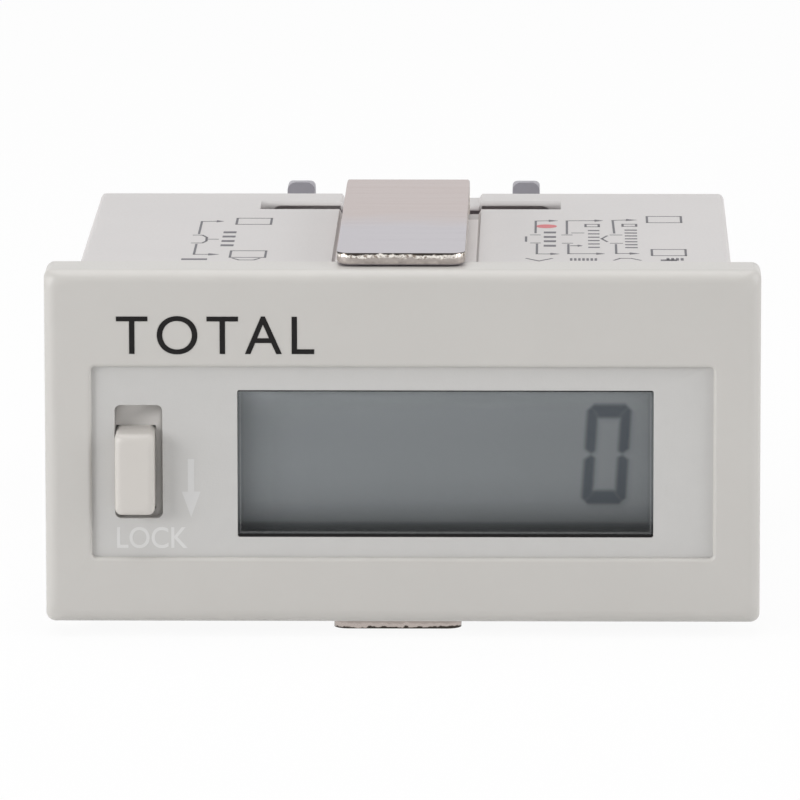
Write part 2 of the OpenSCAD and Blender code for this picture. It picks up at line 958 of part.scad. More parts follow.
module lower_clip() {
    color([0.86, 0.85, 0.84])
    translate([lower_clip_side, lower_clip_back, 0])
        mirror([0, 0, 1])
            clip();
}

front_bezel();
face_plate();
display_window();
lcd_front_glass();
lcd_rear_glass();
lcd_reflector();
lcd_holder();
upper_contact_strip();
lower_contact_strip();
lock_slider();
reset_key();
key_spring();
contact_puck();
circuit_board();
board_screws();
counter_chip();
quartz_crystal();
chip_resistors();
chip_capacitors();
battery_cell();
battery_tabs();
link_pins();
input_board();
input_coupler();
input_capacitor();
rear_case();
terminal_block();
terminal_plates();
clamp_washers();
terminal_screws();
upper_clip();
lower_clip();
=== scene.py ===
import json
import math

import bmesh
import bpy
from mathutils import Matrix, Vector


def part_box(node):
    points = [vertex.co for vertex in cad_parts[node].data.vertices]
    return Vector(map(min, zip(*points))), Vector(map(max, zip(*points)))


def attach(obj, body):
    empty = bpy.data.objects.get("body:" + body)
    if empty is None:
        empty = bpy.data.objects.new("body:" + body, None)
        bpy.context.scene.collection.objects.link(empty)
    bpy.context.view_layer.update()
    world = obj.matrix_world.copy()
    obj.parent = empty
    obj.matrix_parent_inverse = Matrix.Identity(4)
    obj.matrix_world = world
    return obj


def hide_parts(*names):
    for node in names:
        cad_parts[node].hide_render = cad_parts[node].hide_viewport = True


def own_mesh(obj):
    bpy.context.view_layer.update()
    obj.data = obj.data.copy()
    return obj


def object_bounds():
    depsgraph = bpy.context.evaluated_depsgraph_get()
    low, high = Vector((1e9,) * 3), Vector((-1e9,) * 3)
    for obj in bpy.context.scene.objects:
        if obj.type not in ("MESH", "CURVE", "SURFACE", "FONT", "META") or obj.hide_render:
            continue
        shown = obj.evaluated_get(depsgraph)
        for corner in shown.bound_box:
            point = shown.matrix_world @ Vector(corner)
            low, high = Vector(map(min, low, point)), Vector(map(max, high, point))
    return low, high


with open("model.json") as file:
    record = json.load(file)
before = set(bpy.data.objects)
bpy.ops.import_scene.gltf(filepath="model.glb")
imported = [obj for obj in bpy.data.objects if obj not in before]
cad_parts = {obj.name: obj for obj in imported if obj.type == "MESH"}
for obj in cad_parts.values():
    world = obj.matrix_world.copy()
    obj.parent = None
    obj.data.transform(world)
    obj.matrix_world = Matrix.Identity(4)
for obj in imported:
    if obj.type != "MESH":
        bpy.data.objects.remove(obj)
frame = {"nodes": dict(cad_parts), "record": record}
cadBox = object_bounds()

mm = 0.001
scene = bpy.context.scene
scene.view_settings.view_transform = "Standard"
nodes = frame["nodes"]
nodeBody = {n: body for body, members in frame["record"]["behaviour"]["bodies"].items() for n in members}
print("frame loaded:", len(nodes), "nodes")


# stage: camera, floor and light
photoView = {
    "imagePixels": 800,
    "focalPixels": 9311,
    "sensor": 36,
    "distance": 627.3 * mm,
    "elevation": 9.89,  # degrees above the front
    "turn": 0.99,  # degrees towards the right side
    "roll": -0.08,
    "target": (-0.22 * mm, 0, 2.55 * mm),
}


def placeCamera(v):
    elevation, turn, roll = (math.radians(v[k]) for k in ("elevation", "turn", "roll"))
    level = math.cos(elevation)
    back = Vector((math.sin(turn) * level, -math.cos(turn) * level, math.sin(elevation)))
    right = Matrix.Rotation(roll, 3, back) @ Vector((math.cos(turn), math.sin(turn), 0))
    axes = Matrix((right, back.cross(right), back)).transposed().to_4x4()
    data = bpy.data.cameras.new("camera")
    data.sensor_width = v["sensor"]
    data.lens = v["sensor"] * v["focalPixels"] / v["imagePixels"]
    camera = bpy.data.objects.new("camera", data)
    scene.collection.objects.link(camera)
    camera.matrix_world = Matrix.Translation(Vector(v["target"]) + back * v["distance"]) @ axes
    scene.camera = camera


placeCamera(photoView)


def addNode(tree, kind, inputs=None, **settings):
    node = tree.nodes.new(kind)
    for key, value in settings.items():
        setattr(node, key, value)
    for key, value in (inputs or {}).items():
        if isinstance(value, bpy.types.NodeSocket):
            tree.links.new(value, node.inputs[key])
        else:
            node.inputs[key].default_value = value
    return node


def calc(tree, operation, a, b=0.0, c=0.0):
    return addNode(tree, "ShaderNodeMath", {0: a, 1: b, 2: c}, operation=operation).outputs[0]


def remap(tree, value, low, high, toLow=0.0, toHigh=1.0, kind="LINEAR"):
    inputs = {"Value": value, "From Min": low, "From Max": high, "To Min": toLow, "To Max": toHigh}
    return addNode(tree, "ShaderNodeMapRange", inputs, interpolation_type=kind).outputs[0]


def blendColour(tree, share, a, b):
    inputs = {0: share, 6: a, 7: b}
    return addNode(tree, "ShaderNodeMix", inputs, data_type="RGBA").outputs[2]


def noise(tree, place, scale, detail):
    return addNode(tree, "ShaderNodeTexNoise", {"Vector": place, "Scale": scale, "Detail": detail}).outputs[0]


def objectAxes(tree):
    place = addNode(tree, "ShaderNodeTexCoord").outputs["Object"]
    return place, addNode(tree, "ShaderNodeSeparateXYZ", {0: place}).outputs


def rgba(colour):
    return (*colour, 1.0)


plainWhite = (1.0, 1.0, 1.0, 1.0)
studio = {
    "worldDiffuse": 0.15,
    "floorSize": 5.0,
    "floorGap": 0.02 * mm,
    "floorColour": (0.95, 0.95, 0.95),
    "floorLift": 0.93,  # share of the floor that is plain white to the camera
    "lamps": {  # place, size, power
        "topBox": ((-0.10, 0.05, 0.75), (0.9, 0.7), 3.8),
        "frontBox": ((0.0, -0.55, 0.65), (0.9, 0.4), 0.4),
        "rightBox": ((0.75, -0.20, 0.30), (0.6, 0.7), 3.75),
        "leftBox": ((-0.75, -0.15, 0.08), (0.5, 0.3), 1.5),
        "keyBox": ((-0.70, -0.53, 0.27), (0.35, 0.35), 2.9),
    },
}


def whiteToCamera(tree):
    path = addNode(tree, "ShaderNodeLightPath")
    seen = calc(tree, "ADD", path.outputs["Is Camera Ray"], path.outputs["Is Glossy Ray"])
    return calc(tree, "MINIMUM", calc(tree, "ADD", seen, path.outputs["Is Transmission Ray"]), 1.0)


def lightStudio(v):
    world = bpy.data.worlds.new("studio")
    world.use_nodes = True
    scene.world = world
    tree = world.node_tree
    strength = remap(tree, whiteToCamera(tree), 0.0, 1.0, v["worldDiffuse"], 1.0)
    tree.links.new(strength, tree.nodes["Background"].inputs["Strength"])
    tree.nodes["Background"].inputs["Color"].default_value = plainWhite

    for name, (place, size, power) in v["lamps"].items():
        data = bpy.data.lights.new(name, "AREA")
        data.shape = "RECTANGLE"
        data.size, data.size_y = size
        data.energy = power
        lamp = bpy.data.objects.new(name, data)
        scene.collection.objects.link(lamp)
        lamp.location = place
        lamp.rotation_euler = (-Vector(place)).to_track_quat("-Z", "Y").to_euler()
        lamp.visible_camera = False


def layFloor(v):
    half = v["floorSize"] / 2
    low = cadBox[0].z - v["floorGap"]
    corners = [(x * half, y * half, low) for x, y in ((-1, -1), (1, -1), (1, 1), (-1, 1))]
    mesh = bpy.data.meshes.new("floor")
    mesh.from_pydata(corners, [], [(0, 1, 2, 3)])
    floor = bpy.data.objects.new("floor", mesh)
    scene.collection.objects.link(floor)
    paper = bpy.data.materials.new("floorPaper")
    paper.use_nodes = True
    tree = paper.node_tree
    matt = tree.nodes["Principled BSDF"]
    matt.inputs["Base Color"].default_value = rgba(v["floorColour"])
    matt.inputs["Roughness"].default_value = 1.0
    matt.inputs["Specular IOR Level"].default_value = 0.0
    glow = addNode(tree, "ShaderNodeEmission", {"Color": plainWhite, "Strength": 1.0})
    share = calc(tree, "MULTIPLY", whiteToCamera(tree), v["floorLift"])
    mixed = addNode(tree, "ShaderNodeMixShader", {0: share, 1: matt.outputs[0], 2: glow.outputs[0]})
    tree.links.new(mixed.outputs[0], tree.nodes["Material Output"].inputs["Surface"])
    mesh.materials.append(paper)


lightStudio(studio)
layFloor(studio)
print("stage set")


# shader groups shared by several finishes
def newGroup(name, inputs, outputs):
    group = bpy.data.node_groups.new(name, "ShaderNodeTree")
    for label, kind, value in inputs:
        socket = group.interface.new_socket(label, in_out="INPUT", socket_type=kind)
        socket.default_value = value
    for label, kind in outputs:
        group.interface.new_socket(label, in_out="OUTPUT", socket_type=kind)
    return group, group.nodes.new("NodeGroupInput").outputs, group.nodes.new("NodeGroupOutput").inputs


def useGroup(tree, group, inputs):
    return addNode(tree, "ShaderNodeGroup", inputs, node_tree=group).outputs


noiseSpan = (0.3, 0.7)  # where most of a noise texture's values lie
fleckSpan = (0.35, 0.65)


def makeMouldGrain():
    group, given, out = newGroup(
        "mouldGrain",
        [("Grain Scale", "NodeSocketFloat", 5000.0), ("Cloud Scale", "NodeSocketFloat", 90.0)],
        [("Cloud", "NodeSocketFloat"), ("Grain", "NodeSocketFloat")],
    )
    place = addNode(group, "ShaderNodeTexCoord").outputs["Object"]
    cloud = noise(group, place, given["Cloud Scale"], detail=3.0)
    group.links.new(remap(group, cloud, *noiseSpan), out["Cloud"])
    group.links.new(noise(group, place, given["Grain Scale"], detail=4.0), out["Grain"])
    return group


def makeDrawMarks():
    group, given, out = newGroup(
        "drawMarks",
        [("Stretch", "NodeSocketVector", (1.0, 1.0, 1.0)), ("Scale", "NodeSocketFloat", 1500.0)],
        [("Streak", "NodeSocketFloat"), ("Fleck", "NodeSocketFloat")],
    )
    place = addNode(group, "ShaderNodeTexCoord").outputs["Object"]
    drawn = addNode(group, "ShaderNodeVectorMath", {0: place, 1: given["Stretch"]}, operation="MULTIPLY")
    fleck = noise(group, place, given["Scale"], detail=2.0)
    group.links.new(noise(group, drawn.outputs[0], given["Scale"], detail=5.0), out["Streak"])
    group.links.new(remap(group, fleck, *fleckSpan), out["Fleck"])
    return group


noughtForm = {
    "inputs": (("Across", 0.0), ("Up", 0.0), ("Half Width", 1.5), ("Half Height", 3.4), ("Bar", 0.7),
               ("End Bar", 0.9), ("Gap", 0.1), ("Softness", 0.05)),
    "cornerCut": 0.6, "barAxis": 0.6,  # shares of a bar's width
    "waistSlope": 0.8,
}


def makeNought(v):
    # six bars of a nought: a frame with mitred corners, parted at the corners and at mid-height
    group, given, out = newGroup("nought", [(label, "NodeSocketFloat", value) for label, value in v["inputs"]],
                                 [("Mask", "NodeSocketFloat")])

    def less(a, b):
        return calc(group, "SUBTRACT", a, b)

    def plus(a, b):
        return calc(group, "ADD", a, b)

    def times(a, b):
        return calc(group, "MULTIPLY", a, b)

    up, soft, bar = calc(group, "ABSOLUTE", given["Up"]), given["Softness"], given["Bar"]
    fromSide = less(given["Half Width"], calc(group, "ABSOLUTE", given["Across"]))
    fromEnd = less(given["Half Height"], up)
    halfGap = times(given["Gap"], 0.5)
    mitre = times(calc(group, "ABSOLUTE", less(fromSide, fromEnd)), math.sqrt(0.5))
    fromAxis = calc(group, "ABSOLUTE", less(fromSide, times(bar, v["barAxis"])))
    edges = [
        fromEnd,
        calc(group, "MAXIMUM", less(bar, fromSide), less(given["End Bar"], fromEnd)),
        less(plus(mitre, times(soft, 0.5)), halfGap),
        less(plus(fromSide, fromEnd), times(bar, v["cornerCut"])),
        less(up, plus(halfGap, times(fromAxis, v["waistSlope"]))),
    ]
    room = fromSide
    for edge in edges:
        room = calc(group, "MINIMUM", room, edge)
    group.links.new(remap(group, room, times(soft, -1.0), soft, kind="SMOOTHSTEP"), out["Mask"])
    return group


mouldGrain = makeMouldGrain()
drawMarks = makeDrawMarks()
nought = makeNought(noughtForm)


# finishes
def newMaterial(name):
    material = bpy.data.materials.new(name)
    material.use_nodes = True
    tree = material.node_tree
    return material, tree, tree.nodes["Principled BSDF"]


def setShader(shader, values):
    for key, value in values.items():
        shader.inputs[key].default_value = value


def addBump(tree, shader, height, depth):
    bump = addNode(tree, "ShaderNodeBump", {"Height": height, "Distance": depth, "Strength": 1.0})
    tree.links.new(bump.outputs[0], shader.inputs["Normal"])


def insideZone(tree, v):
    # 1 inside the box that lies on both sides of the middle plane, 0 outside it
    axes = objectAxes(tree)[1]
    room = calc(tree, "SUBTRACT", v["halfX"], calc(tree, "ABSOLUTE", axes["X"]))
    fromMiddle = calc(tree, "ABSOLUTE", calc(tree, "SUBTRACT", axes["Y"], v["middleY"]))
    room = calc(tree, "MINIMUM", room, calc(tree, "SUBTRACT", v["halfY"], fromMiddle))
    room = calc(tree, "MINIMUM", room, calc(tree, "SUBTRACT", v["halfZ"], calc(tree, "ABSOLUTE", axes["Z"])))
    return remap(tree, room, -v["soft"], v["soft"])


def mouldedPlastic(name, v):
    material, tree, shader = newMaterial(name)
    skin = useGroup(tree, mouldGrain, {"Grain Scale": v["grainScale"], "Cloud Scale": v["cloudScale"]})
    colour = blendColour(tree, skin["Cloud"], rgba(v["dark"]), rgba(v["light"]))
    # painted light and shade laid over the colour, box by box
    for zone in v.get("paintedLightAndShade", ()):
        colour = blendColour(tree, insideZone(tree, zone), colour, rgba(zone["colour"]))
    tree.links.new(colour, shader.inputs["Base Color"])
    low, high = v["roughness"]
    tree.links.new(remap(tree, skin["Grain"], *noiseSpan, low, high), shader.inputs["Roughness"])
    addBump(tree, shader, skin["Grain"], v["grainDepth"])
    setShader(shader, {"Specular IOR Level": v["gloss"]})
    return material


def drawnMetal(name, v):
    material, tree, shader = newMaterial(name)
    marks = useGroup(tree, drawMarks, {"Stretch": v["stretch"], "Scale": v["scale"]})
    colour = blendColour(tree, marks["Fleck"], rgba(v["dark"]), rgba(v["light"]))
    tree.links.new(colour, shader.inputs["Base Color"])
    low, high = v["roughness"]
    tree.links.new(remap(tree, marks["Streak"], *noiseSpan, low, high), shader.inputs["Roughness"])
    addBump(tree, shader, marks["Streak"], v["markDepth"])
    setShader(shader, {"Metallic": 1.0})
    return material


bezelFinish = {
    "light": (0.572, 0.555, 0.530), "dark": (0.558, 0.541, 0.516),
    "grainScale": 6000.0, "cloudScale": 120.0, "grainDepth": 0.002 * mm,
    "roughness": (0.32, 0.44), "gloss": 0.6,
}
caseFinish = {
    "light": (0.620, 0.598, 0.592), "dark": (0.606, 0.585, 0.580),
    "grainScale": 6000.0, "cloudScale": 120.0, "grainDepth": 0.002 * mm,
    "roughness": (0.42, 0.55), "gloss": 0.35,
    "paintedLightAndShade": [  # painted light on the floors of the channels, lifting the shade under the clips, and painted shade in the clip seats
        {"colour": (0.93, 0.90, 0.885), "halfX": 4.97 * mm, "middleY": 14.0 * mm, "halfY": 14.5 * mm,
         "halfZ": 10.53 * mm, "soft": 0.03 * mm},
        {"colour": (0.33, 0.31, 0.325), "halfX": 11.0 * mm, "middleY": 32.4 * mm, "halfY": 4.0 * mm,
         "halfZ": 10.2 * mm, "soft": 0.1 * mm},
    ],
}
faceFinish = {
    "light": (0.580, 0.572, 0.560), "dark": (0.572, 0.564, 0.552),
    "grainScale": 9000.0, "cloudScale": 900.0, "grainDepth": 0.010 * mm,
    "roughness": (0.55, 0.70), "gloss": 0.3,
}
keyFinish = {
    "light": (0.622, 0.594, 0.560), "dark": (0.608, 0.580, 0.546),
    "grainScale": 6000.0, "cloudScale": 200.0, "grainDepth": 0.001 * mm,
    "roughness": (0.30, 0.40), "gloss": 0.45,
    "paintedLightAndShade": [  # painted light: paler towards the root, lifting the slot's shade there
        {"colour": (0.98, 0.95, 0.915), "halfX": 30.0 * mm, "middleY": -1.5 * mm, "halfY": 1.35 * mm,
         "halfZ": 30.0 * mm, "soft": 0.55 * mm},
    ],
}
sliderFinish = {
    "light": (0.745, 0.725, 0.705), "dark": (0.720, 0.700, 0.680),
    "grainScale": 6000.0, "cloudScale": 300.0, "grainDepth": 0.003 * mm,
    "roughness": (0.45, 0.6), "gloss": 0.35,
}
blockFinish = {
    "light": (0.37, 0.36, 0.39), "dark": (0.345, 0.335, 0.365),
    "grainScale": 5000.0, "cloudScale": 250.0, "grainDepth": 0.004 * mm,
    "roughness": (0.45, 0.6), "gloss": 0.4,
}
bezelPlastic = mouldedPlastic("bezelPlastic", bezelFinish)
casePlastic = mouldedPlastic("casePlastic", caseFinish)
facePlastic = mouldedPlastic("facePlastic", faceFinish)
keyPlastic = mouldedPlastic("keyPlastic", keyFinish)
sliderPlastic = mouldedPlastic("sliderPlastic", sliderFinish)
blockPlastic = mouldedPlastic("blockPlastic", blockFinish)

screwSteel = drawnMetal("screwSteel", {
    "light": (0.72, 0.71, 0.68), "dark": (0.60, 0.59, 0.57), "stretch": (1.0, 1.0, 1.0), "scale": 2500.0,
    "roughness": (0.22, 0.36), "markDepth": 0.004 * mm,
})
springSteel = drawnMetal("springSteel", {
    "light": (0.58, 0.59, 0.61), "dark": (0.46, 0.47, 0.49), "stretch": (0.2, 1.0, 0.2), "scale": 4000.0,
    "roughness": (0.20, 0.32), "markDepth": 0.002 * mm,
})
terminalBrass = drawnMetal("terminalBrass", {
    "light": (0.74, 0.70, 0.58), "dark": (0.62, 0.58, 0.47), "stretch": (1.0, 1.0, 0.06), "scale": 3000.0,
    "roughness": (0.25, 0.42), "markDepth": 0.003 * mm,
})


def rampOver(tree, value, stops):
    ramp = addNode(tree, "ShaderNodeValToRGB", {0: value})
    points = ramp.color_ramp.elements
    for i, (place, level) in enumerate(stops):
        point = points[i] if i < 2 else points.new(1.0)
        point.position = place
        point.color = (level, level, level, 1.0)
    return ramp.outputs[0]


displayLook = {
    "lit": (0.441, 0.471, 0.491), "segment": (0.101, 0.121, 0.149),
    "centre": (13.70, -0.88), "width": 3.02, "height": 6.86,  # the digit, in mm
    "bar": 0.77, "endBar": 0.98, "gap": 0.02, "slant": 0.062, "rim": 0.22, "contrast": 0.83,
    "shadowShift": (0.14, -0.16), "shadowShare": 0.25, "shadowRim": 0.36,
    # brightness by height and from side to side, in mm: painted shade towards the bottom, and painted light near
    # the top and the sides, where the window's walls shade the glass
    "paintedShading": ((-6.4, 0.20), (-6.1, 0.22), (-5.84, 0.28), (-5.66, 0.36), (-5.45, 0.60), (-5.1, 0.71), (-4.6, 0.80),
             (-4.0, 0.91), (-2.4, 0.975), (0.4, 0.99), (1.5, 1.06), (2.2, 1.17), (2.6, 1.30), (3.0, 1.49)),
    "sides": ((-10.6, 1.22), (-9.6, 1.37), (-9.0, 1.33), (-8.5, 1.20), (-7.8, 1.12), (-6.2, 1.04), (-2.0, 1.0),
              (5.0, 0.97), (10.0, 0.95), (12.0, 0.97), (16.0, 1.10)),
    "roughness": 0.35, "gloss": 0.1,
}


def levelOver(tree, value, stops):
    low, high, most = stops[0][0], stops[-1][0], max(level for at, level in stops)
    share = rampOver(tree, remap(tree, value, low, high),
                     [((at - low) / (high - low), level / most) for at, level in stops])
    return calc(tree, "MULTIPLY", share, most)


def digitMask(tree, x, z, v, shift, rim):
    up = calc(tree, "SUBTRACT", z, v["centre"][1] + shift[1])
    across = calc(tree, "SUBTRACT", x, v["centre"][0] + shift[0])
    upright = calc(tree, "SUBTRACT", across, calc(tree, "MULTIPLY", up, v["slant"]))
    return useGroup(tree, nought, {
        "Across": upright, "Up": up, "Half Width": v["width"] / 2, "Half Height": v["height"] / 2,
        "Bar": v["bar"], "End Bar": v["endBar"], "Gap": v["gap"], "Softness": rim,
    })["Mask"]


def displayGlass(name, v):
    material, tree, shader = newMaterial(name)
    place = addNode(tree, "ShaderNodeTexCoord").outputs["Object"]
    inMm = addNode(tree, "ShaderNodeVectorMath", {0: place, 1: (1 / mm,) * 3}, operation="MULTIPLY")
    axes = addNode(tree, "ShaderNodeSeparateXYZ", {0: inMm.outputs[0]}).outputs
    # painted light and shade over the display
    paintedShading = calc(tree, "MULTIPLY", levelOver(tree, axes["Z"], v["paintedShading"]), levelOver(tree, axes["X"], v["sides"]))
    digit = digitMask(tree, axes["X"], axes["Z"], v, (0.0, 0.0), v["rim"])
    shadow = digitMask(tree, axes["X"], axes["Z"], v, v["shadowShift"], v["shadowRim"])
    dark = calc(tree, "MAXIMUM", calc(tree, "MULTIPLY", digit, v["contrast"]),
                calc(tree, "MULTIPLY", shadow, v["shadowShare"]))
    picture = blendColour(tree, dark, rgba(v["lit"]), rgba(v["segment"]))
    faded = addNode(tree, "ShaderNodeMix", {0: 1.0, 6: picture, 7: paintedShading},
                    data_type="RGBA", blend_type="MULTIPLY")
    tree.links.new(faded.outputs[2], shader.inputs["Base Color"])
    setShader(shader, {"Roughness": v["roughness"], "Specular IOR Level": v["gloss"]})
    return material


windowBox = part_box("display_window")
opening = {  # edges of the window's opening, cut a little past the CAD one
    "left": windowBox[0].x + 0.29 * mm, "right": windowBox[1].x - 0.325 * mm,
    "bottom": windowBox[0].z + 0.29 * mm, "top": windowBox[1].z - 0.335 * mm,
}
paneLook = {
    "tint": (0.020, 0.022, 0.023), "tintSpread": 1.3, "grainScale": 3000.0, "cloudScale": 60.0,
    "roughness": 0.06, "gloss": 0.2, "ior": 1.49, "front": -3.2 * mm,
    # how fast the edge's lines pass on each side
    "sides": {"left": 1.0, "right": 1.0, "top": 2.2, "bottom": 0.6},
    # distance in mm, density, brightness: the density darkens the edge as painted shade, the brightness is a
    # painted highlight line
    "lines": ((0.0, 0.36, 0.01), (0.135, 0.34, 0.01), (0.165, 0.16, 0.52), (0.195, 0.16, 0.52),
              (0.235, 0.26, 0.02), (0.33, 0.24, 0.02), (0.45, 0.16, 0.02)),
    # painted shadow in the gaps at the top and bottom: full, gone, density
    "black": {"bottom": (0.19 * mm, 0.22 * mm, 1.0), "top": (0.07 * mm, 0.11 * mm, 0.90)},
    "blackColour": (0.004, 0.003, 0.003),
}


def smokedPane(name, v):
    # clear in the middle, with lines of painted shade and painted highlight along its edge, and painted shadow in
    # the gaps at the top and bottom
    material, tree, shader = newMaterial(name)
    axes = objectAxes(tree)[1]
    behind = calc(tree, "GREATER_THAN", axes["Y"], v["front"])  # adds a metre, so only the front has lines
    left, right = (calc(tree, way, axes["X"], behind) for way in ("ADD", "SUBTRACT"))
    low, high = (calc(tree, way, axes["Z"], behind) for way in ("ADD", "SUBTRACT"))
    rooms = {"left": calc(tree, "SUBTRACT", left, opening["left"]),
             "right": calc(tree, "SUBTRACT", opening["right"], right),
             "top": calc(tree, "SUBTRACT", opening["top"], high),
             "bottom": calc(tree, "SUBTRACT", low, opening["bottom"])}
    room = None
    for side, gap in rooms.items():
        gap = calc(tree, "MULTIPLY", gap, v["sides"][side])
        room = gap if room is None else calc(tree, "MINIMUM", room, gap)
    reach = v["lines"][-1][0]
    along = remap(tree, room, 0.0, reach * mm)
    # painted shade and painted highlight lines along the edge
    density = rampOver(tree, along, [(at / reach, level) for at, level, paintedHighlight in v["lines"]])
    paintedHighlight = rampOver(tree, along, [(at / reach, level) for at, dense, level in v["lines"]])
    # painted shadow in the gaps between pane and hole
    strips = [remap(tree, rooms[side], full, gone, share, 0.0) for side, (full, gone, share) in v["black"].items()]
    black = calc(tree, "MAXIMUM", *strips)
    tree.links.new(calc(tree, "MAXIMUM", density, black), shader.inputs["Alpha"])
    skin = useGroup(tree, mouldGrain, {"Grain Scale": v["grainScale"], "Cloud Scale": v["cloudScale"]})
    tint = blendColour(tree, skin["Cloud"], rgba(v["tint"]), rgba([c * v["tintSpread"] for c in v["tint"]]))
    # the painted highlight is added to the tint
    lit = addNode(tree, "ShaderNodeMix", {0: 1.0, 6: tint, 7: paintedHighlight}, data_type="RGBA", blend_type="ADD")
    tree.links.new(blendColour(tree, black, lit.outputs[2], rgba(v["blackColour"])), shader.inputs["Base Color"])
    setShader(shader, {"Roughness": v["roughness"], "IOR": v["ior"], "Specular IOR Level": v["gloss"]})
    material.surface_render_method = "BLENDED"
    return material


lcdPicture = displayGlass("lcdPicture", displayLook)
windowPane = smokedPane("windowPane", paneLook)


clipLook = {
    "front": (0.564, 0.524, 0.579), "rear": (0.578, 0.455, 0.430),  # the rolled faces, in two tones of painted reflection
    "zone": 11.8 * mm, "zoneSoft": 4.4 * mm, "zoneDrift": 1.6 * mm, "driftScale": 180.0,
    "grazing": (0.76, 0.76, 0.76, 1.0), "roughness": (0.10, 0.20),
    "stretch": (0.05, 1.0, 1.0), "scale": 2200.0, "markDepth": 0.0010 * mm,
    "plate": (12.05 * mm, 12.95 * mm),  # the cut edges, from the inner to the outer side
    "shear": (0.86, 0.82, 0.77), "shearFrom": 0.60, "shearSoft": 0.06,
    "pit": (0.30, 0.25, 0.21), "pitScale": 5200.0, "pitSpan": (0.46, 0.64),
    # lip: painted reflection of the bezel's top in the inner side of the cut
    "torn": (0.40, 0.36, 0.34), "lip": (0.82, 0.77, 0.72), "tornFrom": 0.40,
    # burr: a nearly black line at the outer side of the cut, painted shade
    "burr": (0.05, 0.042, 0.036), "burrShadeFrom": 0.86, "burrShadeSoft": 0.03,
    "ragged": 0.12, "raggedScale": 1900.0, "edgeBump": 0.05 * mm,
    "edgeRoughness": 0.24, "tornRoughness": 0.6, "lowerCut": (0.49, 0.43, 0.40),
    "flatFacing": (0.45, 0.85), "bendFacing": (0.3, 0.5),
}


def platedClip(name, v):
    # rolled faces in two tones of painted reflection; on the cut edges a burr painted dark as shade, a bright
    # pitted band and a torn one that pales towards the inner side with a painted reflection of the bezel
    material, tree, shader = newMaterial(name)
    place, axes = objectAxes(tree)
    normal = addNode(tree, "ShaderNodeNewGeometry").outputs["Normal"]
    facing = addNode(tree, "ShaderNodeSeparateXYZ", {0: normal}).outputs
    marks = useGroup(tree, drawMarks, {"Stretch": v["stretch"], "Scale": v["scale"]})
    ragged = noise(tree, place, v["raggedScale"], detail=4.0)
    drift = noise(tree, place, v["driftScale"], detail=2.0)
    along = calc(tree, "ADD", axes["Y"], remap(tree, drift, *noiseSpan, -v["zoneDrift"], v["zoneDrift"]))
    zone = remap(tree, along, v["zone"] - v["zoneSoft"], v["zone"] + v["zoneSoft"], kind="SMOOTHSTEP")
    # painted reflection: bluish at the front, pinkish at the rear
    rolled = blendColour(tree, zone, rgba(v["front"]), rgba(v["rear"]))

    level = remap(tree, calc(tree, "ABSOLUTE", axes["Z"]), *v["plate"])
    level = calc(tree, "ADD", level, remap(tree, ragged, *noiseSpan, -v["ragged"], v["ragged"]))
    sheared = remap(tree, level, v["shearFrom"] - v["shearSoft"], v["shearFrom"] + v["shearSoft"])
    pits = remap(tree, noise(tree, place, v["pitScale"], detail=2.0), *v["pitSpan"])
    band = blendColour(tree, pits, rgba(v["shear"]), rgba(v["pit"]))
    # paler towards the inner side: painted reflection of the bezel
    torn = blendColour(tree, remap(tree, level, 0.0, v["tornFrom"]), rgba(v["lip"]), rgba(v["torn"]))
    upper = calc(tree, "GREATER_THAN", axes["Z"], 0.0)
    cut = blendColour(tree, upper, rgba(v["lowerCut"]), blendColour(tree, sheared, torn, band))
    # painted shade along the burr
    burr = remap(tree, level, v["burrShadeFrom"] - v["burrShadeSoft"], v["burrShadeFrom"] + v["burrShadeSoft"])
    cut = blendColour(tree, burr, cut, rgba(v["burr"]))

    onEdge = remap(tree, calc(tree, "ABSOLUTE", facing["Z"]), *v["flatFacing"], 1.0, 0.0)
    offBend = remap(tree, facing["Y"], *v["bendFacing"], 1.0, 0.0)
    onEdge = calc(tree, "MULTIPLY", onEdge, offBend)
    tree.links.new(blendColour(tree, onEdge, rolled, cut), shader.inputs["Base Color"])
    smooth = remap(tree, marks["Streak"], *noiseSpan, *v["roughness"])
    matt = remap(tree, sheared, 0.0, 1.0, v["tornRoughness"], v["edgeRoughness"])
    rough = addNode(tree, "ShaderNodeMix", {0: onEdge, 2: smooth, 3: matt}).outputs[0]
    tree.links.new(rough, shader.inputs["Roughness"])
    sparkle = calc(tree, "MULTIPLY", calc(tree, "MULTIPLY", onEdge, upper), sheared)
    height = calc(tree, "MULTIPLY", calc(tree, "MULTIPLY", ragged, sparkle), v["edgeBump"] / v["markDepth"])
    addBump(tree, shader, calc(tree, "ADD", height, marks["Streak"]), v["markDepth"])
    setShader(shader, {"Metallic": 1.0, "Specular Tint": v["grazing"]})
    return material


clipSteel = platedClip("clipSteel", clipLook)


inkSkin = {
    "grainScale": 9000.0, "cloudScale": 1500.0, "grainDepth": 0.003 * mm, "roughSpread": 0.06,
    "thinShare": 1.02, "thinLift": 0.004,  # where the ink lies thin
}


def printInk(name, colour, roughness, gloss=0.3, v=inkSkin):
    material, tree, shader = newMaterial(name)
    skin = useGroup(tree, mouldGrain, {"Grain Scale": v["grainScale"], "Cloud Scale": v["cloudScale"]})
    thin = [c * v["thinShare"] + v["thinLift"] for c in colour]
    tree.links.new(blendColour(tree, skin["Cloud"], rgba(colour), rgba(thin)), shader.inputs["Base Color"])
    low, high = roughness - v["roughSpread"], roughness + v["roughSpread"]
    tree.links.new(remap(tree, skin["Grain"], *noiseSpan, low, high), shader.inputs["Roughness"])
    addBump(tree, shader, skin["Grain"], v["grainDepth"])
    setShader(shader, {"Specular IOR Level": gloss})
    return material


